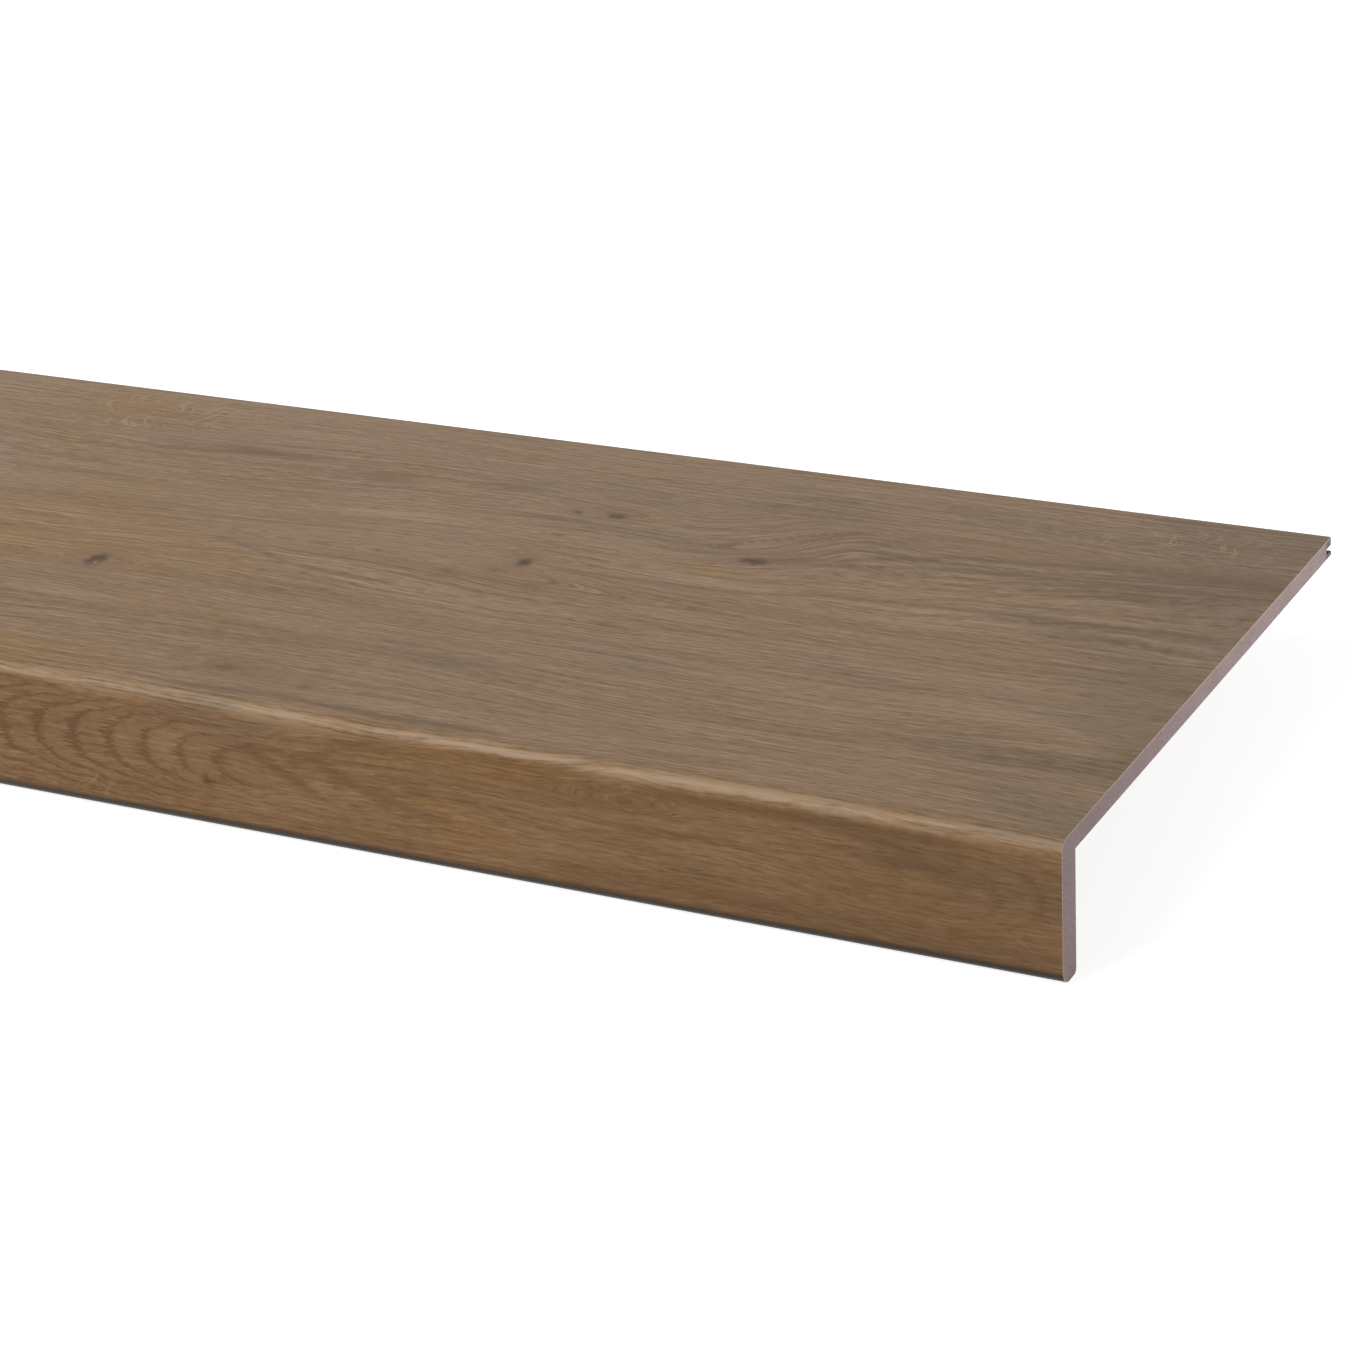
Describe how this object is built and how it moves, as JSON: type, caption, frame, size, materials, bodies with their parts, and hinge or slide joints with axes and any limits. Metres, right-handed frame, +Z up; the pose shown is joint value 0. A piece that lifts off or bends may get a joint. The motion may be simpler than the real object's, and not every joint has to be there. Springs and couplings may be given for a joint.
{
  "type": "laminate stair tread",
  "caption": "Laminate stair tread with a deep rounded nose, an L in section, made to lie over an existing step; its back edge is grooved for an extension board.",
  "frame": {"origin": "under the middle of the tread, level with the foot of the nose", "axes": "+X along the tread's length, +Y from the nose to the grooved back edge, +Z up through the top face"},
  "size_m": [1, 0.3, 0.056],
  "materials": {
    "fibreboard": "machined fibreboard",
    "oak_laminate": "satin wood-grain laminate"
  },
  "bodies": {
    "root": {"fibreboard_core": "fibreboard", "decor_laminate": "oak_laminate"}
  },
  "joints": []
}
